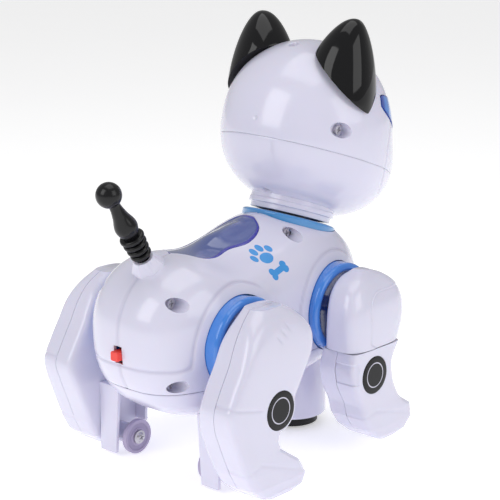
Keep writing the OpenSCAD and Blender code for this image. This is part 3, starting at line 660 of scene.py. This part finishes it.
def rim_profile(radius, tube, mid, seat, hub, dish):
    """Round rim on a short wall, with a dished web running in to the hub."""
    a = np.radians(np.linspace(-20, 200, 46))
    arc = np.stack([radius + tube * np.cos(a), mid + tube * np.sin(a)], -1)
    foot = [(hub, seat), (radius + tube - 0.6, seat), (radius + tube, seat + 0.8)]
    web = [(radius - tube, mid - 2.5), (dish, seat + 2.2), (hub, seat + 2)]
    return np.concatenate([foot, arc, web])


for place, where in (("hip", HIP), ("shoulder", SHOULDER)):
    for s, side in SIDES:
        profile = rim_profile(24.2, 2.8, 46.9, 37.5, 4.3, 12)
        # Painted shade: the dished web inside the rim darkens in towards the hub.
        shade = ease(24.5 - profile[:, 0], 0.0, 3.2)
        profile = profile * np.array([1, s])
        ring = lathe(f"light_ring_{place}_{side}", profile, axle_frame(where), 240, shade)
        show(ring, f"{place}_ring_{side}", "blue_clear")

NECK_RIM_HEIGHT = 0.6
profile = rim_profile(26.5, 2.5, 0, -8, 9.3, 14)
profile[3:-3, 1] *= NECK_RIM_HEIGHT
# Painted shade on the neck ring's web inside the rim.
ring = lathe("light_ring_neck", profile, NECK, 240, ease(25 - profile[:, 0], 0.5, 3))
show(ring, "neck_light_ring", "neck_blue")


# ---------- head ----------

COLLAR = float(head_point(180, -63)[2])
VISOR_ROWS, VISOR_COLUMNS = 26, 120


def visor_grid(inset, grow):
    """The head's own formula over the visor: a band that rises and narrows towards its tips."""
    u = np.linspace(-92, 92, VISOR_COLUMNS)[None, :]
    s = climb(-1, 1, VISOR_ROWS)
    f = (u / 92) ** 2
    v = 17 + 5 * f + s * (13 * (1.03 - f) ** 0.4 + grow)
    return head_point(u * (1 + grow * 0.01), v, inset)


# The places on the head of its small pits, with their radius and depth.
PITS = (((-32.6, 0.5, 101.2), 3.4, 2.2), ((-54.2, -2.8, 51.8), 1.7, 0.5),
        ((-27.6, -1.4, 12.7), 3.0, 2.0))


def head_relief(grid, v):
    """Depth pressed into the head: a bell along its seam, a bell round an oval plate line beside
    the muzzle, and a smooth step down into each pit."""
    x, y, z = grid[..., 0], grid[..., 1], grid[..., 2]
    oval_line = np.hypot(x - 44, (z - 62) / 1.15) - 33
    line = 0.3 * bell(oval_line, 0.8) * ease(np.abs(y), 24, 30)
    seam = 0.2 * bell(v + 20, 0.5) * np.ones_like(x)
    pits = np.zeros_like(x)
    for spot, radius, depth in PITS:
        away = np.linalg.norm(grid - np.array(spot), axis=-1)
        pits += depth * (1 - ease(away, radius * 0.55, radius))
    # The second value is painted shade in the plate line, the seam and the pits.
    return line + seam + pits, np.clip(line / 0.3 * 0.5 + seam / 0.2 * 0.3 + pits * 0.4, 0, 1)


def head_part(name, v_low, v_high, hollow_low, hollow_high, rows):
    """The head's formula between two latitudes, hollowed to its wall."""
    v = climb(v_low, v_high, rows)
    grid = head_point(circle(480), v)
    depth, shade = head_relief(grid, v)
    made = solid(name, moved(sink(grid, depth, True), NECK), shade=shade)
    hollow = head_point(circle(120), climb(hollow_low, hollow_high, 60), WALL)
    return cut(made, solid("hollow", moved(hollow, NECK)))


def head_top():
    """Upper shell, with a tube round each screw recess and an opening for the visor."""
    made = head_part("head_top", -19.93, 87, -26, 87, 170)
    cups, tools = [], []
    for s in (1, -1):
        how = NECK @ axle_frame((-28, 55))
        tube = rod("screw tube", 6.6, *span(s, 36.5, 54), how, 96, oval)
        inside = head_point(circle(120), climb(-84, 86, 60), 1.0)
        cups.append(cut(tube, solid("inside", moved(inside, NECK)), how="INTERSECT"))
        tools.append(rod("screw recess", 4.8, *span(s, 42.0, 64), how, 96, oval))
    made = cut(made, *cups, how="UNION")
    slot = skin("visor opening", moved(visor_grid(-4, 0.6), NECK),
                moved(visor_grid(5, 0.6), NECK))
    return cut(made, *tools, slot)


show(head_top(), "head_upper_shell", "white_shell")
show(head_part("head_jaw", -63, -20.07, -70, -14, 90), "head_lower_shell", "white_shell")
collar = rounded([(21.4, 2.8), (24.8, 2.8), (24.8, 6.0), (26.4, 6.2), (26.4, COLLAR - 3),
                  (25.8, COLLAR - 2.6), (25.8, COLLAR + 1.5), (21.4, COLLAR + 1.5)], 0.4)
show(lathe("head_collar", collar, NECK, 200), "head_lower_shell", "white_shell",
     stands_for=False)


def visor():
    """Visor just proud of the head, with painted shade that fades in from its edges."""
    def inward(count):
        return np.minimum(np.linspace(0, 1, count), np.linspace(1, 0, count))
    edge = np.minimum(inward(VISOR_COLUMNS)[None, :] * 6, inward(VISOR_ROWS)[:, None] * 2)
    return skin("eye_visor", moved(visor_grid(-0.5, 0), NECK), moved(visor_grid(1.3, 0), NECK),
                shade=1 - ease(edge, 0.05, 0.2))


show(visor(), "face_visor", "blue_clear")


def nose_piece():
    """Cap of a ball set square on the muzzle."""
    rise = head_point(0, -9) - head_point(0, -19)
    how = NECK @ turned(math.degrees(math.atan2(rise[2], -rise[0])), "Y", head_point(0, -14, -0.3))
    a = np.radians(np.linspace(27.5, 90, 30))
    profile = np.concatenate([[(0, 0)], np.stack([6.5 * np.cos(a), -3 + 6.5 * np.sin(a)], -1)])
    profile[-1, 0] = 0
    return lathe("nose_button", profile, how, 96)


show(nose_piece(), "nose", "black_gloss")


def ear_grid():
    """Flattened horn: oval rings along a lean, whose half widths close to a rounded tip."""
    t = 0.99 * (1 - (1 - np.linspace(0, 1, 90)) ** 1.7)[:, None]
    fade = np.ones_like(t)
    t, fade = np.vstack([t, [[0.99], [0.99]]]), np.vstack([fade, [[0.55], [0.02]]])
    lean, line = np.array([-5.2, 5.6, 30]) / 30.96, np.array([0.41, 0.68, -0.605])
    face = np.cross(line, lean)
    face /= np.linalg.norm(face)
    u = circle(120)
    full = 1 - t ** 1.3
    a, b = 25 * full ** 0.59 * fade, 20.4 * full ** 0.52 * fade
    centre = (np.array([-19.5, 34.5, 32.6 + HEAD_Z]) + lean * (36.5 * t - 8)
              + line * 0.6 * sind(180 * t))
    return (centre[:, None, :] + line * (a * cosd(u))[..., None]
            + face * (b * spow(sind(u), 0.85))[..., None])


def ear(name, s):
    """Ear cut off just under the head's surface."""
    made = solid(name, moved(ear_grid() if s > 0 else mirrored(ear_grid()), NECK))
    inside = head_point(circle(240), climb(-84, 87, 120), 0.1)
    return cut(made, solid("head inside", moved(inside, NECK)))


for s, side in SIDES:
    show(ear(f"ear_horn_{side}", s), f"ear_{side}", "black_gloss")


# ---------- legs ----------

# Rows of height, rear and front edge measured from the axle, and how far the inner and the outer
# faces are drawn in.
REAR = [[0, -14, 10, 5, 3], [3, -20, 16, 1.5, 1], [9, -27, 18, -1, 0], [18, -32, 12, -2, 0],
        [28, -36, -3, -2.5, 0.6], [38, -40, -3, -2.5, 0.8], [46, -43, 6, -2.5, 0.6],
        [57, -45, 10, 0.1, 0.4],
        [68, -40, 17, 0, 0.6], [80, -33, 24, 0, 1], [92, -27, 25, 0, 2.5], [101, -20, 19, 0.3, 5],
        [107, -12, 9, 1.5, 10]]
FRONT = [[7.5, 3, 18, 6, 2], [10, -2, 27, 2, 0.5], [16, -9, 33.5, -1, 0], [24, -14, 32, -2, 0],
         [29, -15, 24, -2.3, 0.4], [33, -16, 20, -2.5, 0.6], [44, -22, 15, -2.5, 0.8],
         [56, -26, 14, -0.6, 0.8],
         [66.5, -24, 20, 0.4, 0.8]]
COVER = [[67, -25, 22.5, 0, 0.3], [80, -25.5, 27, 0, 0], [92, -24, 27, 0, 1],
         [101, -20, 23, 0.3, 4],
         [107, -13, 15, 1.5, 8], [110.5, -4, 6, 5, 13]]
LEG_Y, LEG_T = 50.7, 27.0
REAR_KNEE, FRONT_KNEE, KNEE_SEAT = (HIP[0] - 5.8, 51.4), (SHOULDER[0] - 5.5, 50.7), 75.7
CASTOR_X, CASTOR_Y, CASTOR_Z = HIP[0] - 12, 31, 10.4


def box_power(rows, z):
    """How square the leg is in plan: nearly a box at the shin and foot, rounder towards the top."""
    if rows is COVER:
        return 3.6 - 0.6 * ease(z, 96, 110)
    return 3.0 + 5.0 * (1 - ease(z, 84, 104)) * ease(z, rows[0][0] - 6, rows[0][0] + 3)


def station(rows, z, column):
    """Straight between the foot's stations, which leaves creases, and smooth above the ankle."""
    table = np.asarray(rows, float)
    straight = np.interp(z, table[:, 0], table[:, column])
    mix = ease(z, 27, 33) if rows is not COVER else 1.0
    return straight + (along(rows, z, column) - straight) * mix


def leg_grid(rows, x0, u, count, inset, split):
    """Leg between its stations: at each height a rounded box in plan, whose heading u is a polar
    angle and whose radius is that of a superellipse of the box power."""
    low, high = rows[0][0], rows[-1][0]
    z = np.linspace(low, high, count)
    z = np.unique(np.concatenate([z, [r[0] for r in rows]]))
    a, b, i, o = (station(rows, z, c)[:, None] for c in (1, 2, 3, 4))
    power = box_power(rows, z)[:, None]
    c, d = cosd(u), sind(u)
    size = (abs(c) ** power + abs(d) ** power) ** (1 / power)
    c, d = c / size, d / size
    y0, y1 = LEG_Y + i, LEG_Y + LEG_T - o
    up = (low + inset + (z - low) / (high - low) * (high - low - 2 * inset))[:, None]
    x = x0 + (a + b) / 2 + ((b - a) / 2 - inset) * c
    y = (y0 + y1) / 2 + split + ((y1 - y0) / 2 - inset) * d
    return np.stack([x, y, up + 0 * u], -1)


def rear_relief(grid):
    """Depth pressed into a rear leg's outer face: a line at the knee, three short ribs and a
    crease at the ankle, each a bell across its own line."""
    x, y, z = grid[..., 0], grid[..., 1], grid[..., 2]
    out = ease(y, LEG_Y + 8, LEG_Y + 12)
    knee = 0.3 * bell(z - 56.0 + 0.25 * (x + 75), 0.8) * (1 - ease(x, -74, -69)) * out
    ribs = sum(0.35 * bell((x - rx) * 0.8 + (z - rz) * 0.6, 0.7)
               * bell((x - rx) * 0.6 - (z - rz) * 0.8, 3.2)
               for rx, rz in ((-55, 91.5), (-51, 94.5), (-47, 97))) * out
    ankle = 0.25 * bell(z - 24 + 0.35 * np.abs(x + 72), 1.3) * out
    # The second value is painted shade in the knee line, the ribs and the ankle crease.
    return knee + ribs + ankle, np.clip(knee + ribs * 0.6 + ankle * 0.2, 0, 1)


def front_relief(grid):
    """Depth pressed into a front leg's outer face: a notch between two heights and a crease at
    the ankle."""
    x, y, z = grid[..., 0], grid[..., 1], grid[..., 2]
    out = ease(y, LEG_Y + 6, LEG_Y + 10)
    notch = 0.6 * ease(z, 47, 47.8) * (1 - ease(z, 60.3, 61.1)) * (1 - ease(x, 13, 14)) * out
    ankle = 0.25 * bell(z - 28 + 0.3 * np.abs(x - 30), 1.3) * out
    # The second value is painted shade in the notch and the ankle crease.
    return notch + ankle, np.clip(notch * 0.2 + ankle * 0.2, 0, 1)


def cover_relief(grid):
    """Arched panel let into the cover's outer face."""
    x, y, z = grid[..., 0], grid[..., 1], grid[..., 2]
    arch = np.hypot(np.maximum(36 - x, 0), np.maximum(z - 88, 0)) - 12.0
    panel = np.where(z > 70, arch, arch + (70 - z) * 1.5)
    out = ease(y, LEG_Y + 14, LEG_Y + 18)
    # The second value is painted shade along the panel's edge.
    return 0.45 * (1 - ease(panel, -0.6, 0.6)) * out, np.clip(0.5 * bell(panel, 0.8) * out, 0, 1)


def leg_part(name, rows, x0, s, out, relief=None, knee=None):
    """Half of a leg on one side of its split: a wall between two leg grids, capped at both ends,
    with a boss and a recess for the knee cap on the outer half."""
    u = np.linspace(0, 180, 110)[None, :] + (0 if out else 180)
    split = (1 if out else -1) * GAP / 2
    outer = leg_grid(rows, x0, u, 170, 0, split)
    inner = leg_grid(rows, x0, u, 170, WALL, split)
    if out:
        inner[..., 1] = np.maximum(inner[..., 1], outer[..., 1].min())
    depth, shade = relief(outer) if relief else (np.zeros(outer.shape[:2]),) * 2
    outer = sink(outer, depth)
    if s < 0:
        outer, inner = mirrored(outer), mirrored(inner)
    made = skin(name, outer, inner, low=True, high=True, shade=shade)
    if knee:
        how = axle_frame(knee)
        boss = rod("knee boss", 12.7, *span(s, KNEE_SEAT - 3, KNEE_SEAT + 1.0), how)
        made = cut(made, boss, how="UNION")
        made = cut(made, rod("knee recess", 11.45, *span(s, KNEE_SEAT, KNEE_SEAT + 20), how))
    return made


def plate(name, low, high, s, taper=0.0):
    """Flat bar with bevelled edges that narrows by the taper towards its foot."""
    x, z = (low[0], high[0]), (low[2], high[2])
    grid = np.array([[[x[0], low[1] + t, h], [x[1], low[1] + t, h], [x[1], high[1], h],
                      [x[0], high[1], h]] for h, t in ((z[0], taper), (z[1], 0.0))])
    made = solid(name, grid * np.array([1, s, 1]))
    edge = made.modifiers.new("edge", "BEVEL")
    edge.width, edge.segments, edge.limit_method = 0.5 * MM, 3, "NONE"
    return cut(made)


def castor_fork(s):
    """Struts before and behind the castor wheel, the web between them and the wheel's pin."""
    x, web = CASTOR_X, LEG_Y - 3.5
    how = axle_frame((x, CASTOR_Z))
    return [plate("strut", (x - 13.4, 32, 2), (x - 11, web + 1, 44), s, 3.0),
            plate("strut", (x + 13.4, 36, 15), (x + 15.8, web + 1, 44), s, 2.0),
            plate("web", (x - 13.4, web - 1.5, 12), (x + 15.8, web + 0.9, 44), s),
            rod("pin", 3.0, *span(s, 29.0, web), how, 64),
            rod("shoulder", 6.0, *span(s, 33.6, web + 2), how, 64)]


def knee_disc(name, where, s):
    """Cap with a rounded edge and a pale ring printed in a groove."""
    r = np.array([0, 6.7, 6.95, 7.0, 7.65, 7.7, 7.95, 10.6, 11.1, 11.3, 11.3, 0])
    h = np.array([1.8, 1.8, 1.8, 1.62, 1.62, 1.8, 1.8, 1.8, 1.65, 1.3, 0, 0])
    shade = np.array([0, 0, 0, 1, 1, 0, 0, 0, 0, 0, 0, 0])
    profile = np.stack([r, (KNEE_SEAT + h) * s], -1)
    return lathe(name, profile, axle_frame(where), 128, shade)


LEGS = (("rear", REAR, HIP[0], rear_relief, REAR_KNEE),
        ("front", FRONT, SHOULDER[0], front_relief, FRONT_KNEE))
for s, side in SIDES:
    for place, rows, x0, relief, knee in LEGS:
        show(leg_part(f"{place}_leg_shell_{side}", rows, x0, s, True, relief, knee),
             f"{place}_leg_outer_{side}", "white_shell")
        within = leg_part(f"{place}_leg_backing_{side}", rows, x0, s, False)
        extras = castor_fork(s) if place == "rear" else [
            plate("tongue", (SHOULDER[0] - 11, 58.7, 64.5), (SHOULDER[0] + 11, 62.7, 99), s, 0.0)]
        if place == "rear":
            within = cut(within, rod("axle hole", 4.5, *span(s, 0, 80), axle_frame(HIP)))
        show(cut(within, *extras, how="UNION"), f"{place}_leg_inner_{side}", "white_shell")
        show(knee_disc(f"{place}_knee_disc_{side}", knee, s), f"{place}_knee_cap_{side}",
             "black_matte")
    outer, inner = (leg_grid(COVER, SHOULDER[0], circle(240), 150, inset, 0)
                    for inset in (0, WALL))
    depth, shade = cover_relief(outer)
    outer = sink(outer, depth, True)
    if s < 0:
        outer, inner = mirrored(outer), mirrored(inner)
    cover = skin(f"shoulder_cap_{side}", outer, inner, ring=True, high=True, shade=shade)
    show(cover, f"shoulder_cover_{side}", "white_shell")


# ---------- castor wheels, turret, tail and switch ----------

for s, side in SIDES:
    how = turned(90 * s, "X", (CASTOR_X, CASTOR_Y * s, CASTOR_Z))
    tyre = rounded([(3.06, -1.6), (10.4, -1.6), (10.4, 1.6), (8.6, 1.6), (8.2, 0.9), (5.6, 0.9),
                    (5.2, 1.6), (3.06, 1.6)], 0.35)
    # Painted shade in the recessed face of the wheel.
    groove = ease(tyre[:, 1], 1.3, 0.9) * (tyre[:, 1] > 0.5) * 0.5
    show(lathe(f"castor_{side}", tyre, how, 128, groove), f"castor_wheel_{side}", "castor")
    how = turned(90 * s, "X", (CASTOR_X, (CASTOR_Y - 2.1) * s, CASTOR_Z))
    head = rounded([(0, 0), (4.2, 0), (4.2, 0.7), (2.9, 0.85), (2.5, 1.6), (1.6, 2.0), (0, 2.0)],
                   0.3)
    screw = lathe(f"castor_bolt_{side}", head, how, 96)
    cross = []
    for a in (0, 90):
        slot = block("cross", (-1.6, -0.35, 1.2), (1.6, 0.35, 3))
        at_bolt = Matrix(how.tolist())
        at_bolt.translation *= MM
        slot.data.transform(at_bolt @ Matrix.Rotation(math.radians(a + 20), 4, "Z"))
        cross.append(slot)
    show(cut(screw, *cross), f"castor_screw_{side}", "steel")

drum = rounded([(20, 7.5), (22, 7.5), (22, 45), (5.06, 45), (5.06, 43), (20, 43), (20, 7.5)], 0.8)
show(lathe("turret_drum", drum[:-1], TURRET, 240), "turret_housing", "white_shell")


def tail_profile():
    """Four bellows, a bottle-shaped stem and a ball, from the root upwards."""
    z = np.linspace(4.8, 20.4, 240)
    i = np.clip(np.floor((z - 4.8) / 4), 0, 3)
    bulge = 1.6 ** 2 - (z - 6.8 - 4 * i) ** 2
    fold = 4.6 + 0.35 * i + np.sqrt(np.maximum(bulge, 0)) - 0.35 * (bulge <= 0)
    t = np.linspace(0, 1, 60)
    bottle = along([[0, 5.0], [0.22, 6.6], [0.5, 4.4], [0.75, 3.3], [1, 4.6]], t, 1)
    stem = np.stack([bottle, 20.6 + (50 - 20.6) * t], -1)
    a = np.radians(np.linspace(-50, 90, 60))
    ball = np.stack([7.3 * np.cos(a), 50 + 7.3 * np.sin(a)], -1)
    ball[-1, 0] = 0
    stem = stem[stem[:, 1] < ball[0, 1]]
    root = [(0, -2), (2.7, -2), (2.7, 4.7), (4.4, 4.8)]
    return np.concatenate([root, np.stack([fold, z], -1), stem, ball])


show(lathe("tail_whip", tail_profile(), TAIL, 128), "tail", "tail_rubber")


def socket():
    """Seat of the tail: a cone whose plan is a heptagon, over a round sleeve."""
    profile = np.array([(4.1, -11), (7.1, -11), (7.1, -8), (11.2, -7), (9.6, -2.2), (6.4, 3),
                        (5.9, 3.3), (4.1, 3.3)])
    faceted = np.array([0, 0, 0, 1, 1, 1, 0, 0])[:, None]

    def facets(angle):
        part = (angle + 0.22) % (2 * math.pi / 7) - math.pi / 7
        return 1 + faceted * (math.cos(math.pi / 7) / np.cos(part) - 1)
    return lathe("tail_seat", profile, TAIL, 7 * 18, wave=facets)


show(socket(), "tail_socket", "white_shell")


def knob():
    """Rounded block whose plan is a superellipse of power 7."""
    u = circle(64)
    x = np.array([-2.9, -2.9, -2.7, -2.3, 8.4, 8.4])[:, None]
    k = np.array([0.02, 0.90, 0.97, 1.0, 1.0, 0.02])[:, None]
    y, z = 2.9 * k * spow(cosd(u), 2 / 7), 2.7 * k * spow(sind(u), 2 / 7)
    return solid("power_knob", np.stack([SWITCH_X + x + 0 * u, y, SWITCH_Z + z], -1))


show(knob(), "switch_slider", "red")


# ---------- inner parts keep their made shape ----------

KEPT = {"battery_cover": "white_shell", "leg_frame": "frame_grey", "battery_box": "frame_grey",
        "battery_cells": "cell", "control_board": "board", "speaker": "black_matte",
        "gearbox_plate": "frame_grey", "leg_motor": "motor", "motor_pinion": "gear",
        "crank_gear": "gear", "head_motor": "motor", "neck_post": "frame_grey",
        "switch_body": "frame_grey", "body_screws": "steel", "head_frame": "frame_grey",
        "eye_board": "board", "head_screws": "steel", "turret_base": "black_matte",
        "drive_wheels": "black_matte", "front_axle_left": "steel", "front_axle_right": "steel",
        "rear_axle_left": "steel", "rear_axle_right": "steel"}
for node, made in frame["nodes"].items():
    for held in made.material_slots:
        held.material = FINISH[KEPT.get(node, "white_shell")]


# ---------- studio ----------

def floor():
    """Flat square, with its finish."""
    far = 4000.0
    corners = np.array([[-far, -far, 0], [far, -far, 0], [far, far, 0], [-far, far, 0]])
    made = mesh_of("floor", corners, [[0, 1, 2, 3]])
    pale = Finish("studio floor", IOR=1.2, Emission_Color=(1, 1, 1, 1), Emission_Strength=0.45)
    tone = pale.blend(pale.noise(3), (0.93, 0.93, 0.94), (0.95, 0.95, 0.955))
    rough = 0.6 + 0.2 * pale.noise(9)
    made.data.materials.append(pale.wear(tone, rough, pale.noise(60), 0.0001))


def lamp(name, at, towards, size, power):
    """Soft box that points from one place towards another."""
    light = bpy.data.lights.new(name, "AREA")
    light.shape, light.size, light.size_y, light.energy = "RECTANGLE", *size, power
    made = bpy.data.objects.new(name, light)
    made.location = at
    made.rotation_euler = (Vector(towards) - Vector(at)).to_track_quat("-Z", "Y").to_euler()
    bpy.context.scene.collection.objects.link(made)


floor()
lamp("left soft box", (-1.15, 0.25, 0.85), (-0.02, 0, 0.12), (0.7, 0.9), 4.6)
lamp("right soft box", (0.1, -1.25, 0.75), (0, 0, 0.12), (0.8, 0.9), 3.4)
lamp("top soft box", (0.05, 0.0, 1.35), (0, 0, 0.1), (1.0, 1.0), 4.2)
world = bpy.data.worlds.new("studio")
world.use_nodes = True
world.node_tree.nodes["Background"].inputs["Color"].default_value = (1, 1, 1, 1)
sky = world.node_tree.nodes["Background"].inputs["Strength"]
seen = world.node_tree.nodes.new("ShaderNodeLightPath")
level = world.node_tree.nodes.new("ShaderNodeMapRange")
WORLD_ON_OBJECT, WORLD_SEEN = 0.42, 1.0
level.inputs[3].default_value, level.inputs[4].default_value = WORLD_ON_OBJECT, WORLD_SEEN
world.node_tree.links.new(seen.outputs["Is Camera Ray"], level.inputs[0])
world.node_tree.links.new(level.outputs[0], sky)
bpy.context.scene.world = world
bpy.context.scene.view_settings.view_transform = "Standard"

heading, height = math.radians(47.8), math.radians(14.4)
back = Vector((-math.sin(heading) * math.cos(height), -math.cos(heading) * math.cos(height),
               math.sin(height)))
right = Vector((math.cos(heading), -math.sin(heading), 0))
up = back.cross(right)
lens = bpy.data.cameras.new("camera")
lens.lens, lens.sensor_width, lens.clip_start = 113.4, 36, 0.01
camera = bpy.data.objects.new("camera", lens)
camera.matrix_world = Matrix((right, up, back)).transposed().to_4x4()
VIEW_DISTANCE, VIEW_CENTRE = 0.940, Vector((0.00395, 0, 0.1176))
camera.location = back * VIEW_DISTANCE + VIEW_CENTRE
bpy.context.scene.collection.objects.link(camera)
bpy.context.scene.camera = camera
